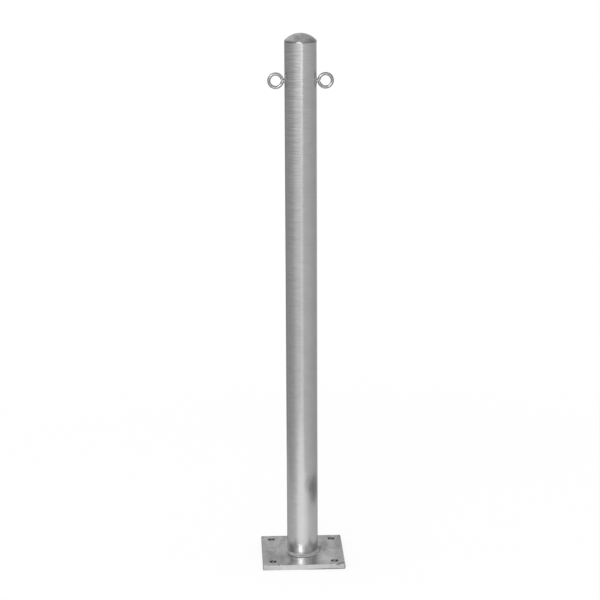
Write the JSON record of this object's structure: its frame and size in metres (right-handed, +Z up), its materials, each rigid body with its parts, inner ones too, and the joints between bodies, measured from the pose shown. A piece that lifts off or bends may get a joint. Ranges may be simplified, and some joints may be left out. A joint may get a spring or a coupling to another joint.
{
  "type": "barrier post",
  "caption": "Round galvanised steel barrier post with a domed cap, a wire eye on each side for a chain, and a square base plate drilled for ground anchors.",
  "frame": {"origin": "centre of the base plate's underside, on the tube's axis", "axes": "+Z up the tube, X through both eyes with +X to the right as seen from the front, +Y to the back"},
  "size_m": [0.16, 0.16, 1.0262],
  "materials": {
    "plate": "hot-dip galvanised, dull and mottled",
    "tube": "hot-dip galvanised, satin with fine cross marks",
    "cap": "hot-dip galvanised pressed steel, dull and mottled",
    "weld": "galvanised weld bead",
    "seam": "galvanised seam, darker in its hollow",
    "eye_wire": "bright zinc-plated wire",
    "nut": "zinc-plated steel"
  },
  "bodies": {
    "root": {"base_plate": "plate", "post_tube": "tube", "dome_cap": "cap", "base_weld": "weld", "cap_weld": "seam", "left_eye": "eye_wire", "right_eye": "eye_wire", "left_rivet_nut": "nut", "right_rivet_nut": "nut"}
  },
  "joints": []
}
